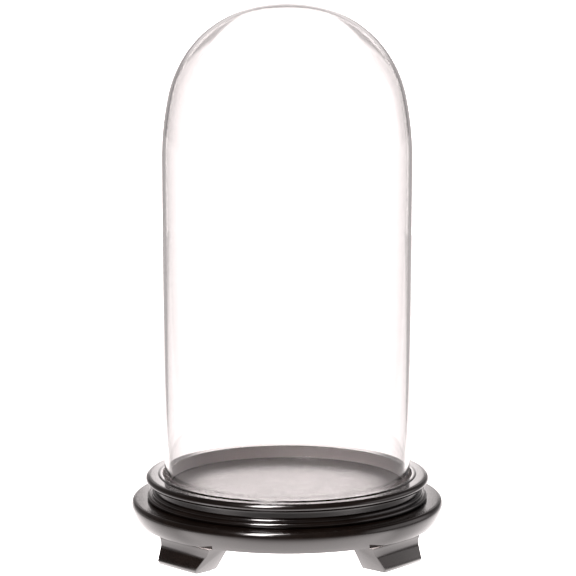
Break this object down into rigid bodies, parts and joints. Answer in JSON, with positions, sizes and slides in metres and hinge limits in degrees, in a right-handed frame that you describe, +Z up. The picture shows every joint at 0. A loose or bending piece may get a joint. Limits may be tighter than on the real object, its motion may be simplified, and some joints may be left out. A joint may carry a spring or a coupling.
{
  "type": "bell jar dome",
  "caption": "Clear glass display dome with a rounded top, standing in the recess of a turned black-lacquered wooden base on bracket feet.",
  "frame": {"origin": "centre of the base, on the surface that its feet stand on", "axes": "+Z up along the axis of the dome; the front of the base, midway between two feet, faces -Y; +X to the right seen from the front"},
  "size_m": [0.2572, 0.2572, 0.4473],
  "materials": {
    "clear_glass": "clear blown glass, fire-polished rim",
    "black_lacquer": "black satin lacquer over turned wood",
    "floor_lacquer": "black satin lacquer over flat board",
    "felt": "thin pressed wool felt",
    "zinc_steel": "bright zinc plate"
  },
  "bodies": {
    "base": {"collar_ring": "black_lacquer", "display_floor": "floor_lacquer", "plinth": "black_lacquer", "foot_front_left": "black_lacquer", "foot_front_right": "black_lacquer", "foot_back_left": "black_lacquer", "foot_back_right": "black_lacquer", "pad_front_left": "felt", "pad_front_right": "felt", "pad_back_left": "felt", "pad_back_right": "felt", "foot_screws": "zinc_steel"},
    "dome": {"glass_dome": "clear_glass"}
  },
  "joints": [
    {"name": "dome_lift", "type": "slide", "parent": "base", "child": "dome", "axis": [0, 0, 1], "range_m": [0, 0.4]}
  ]
}
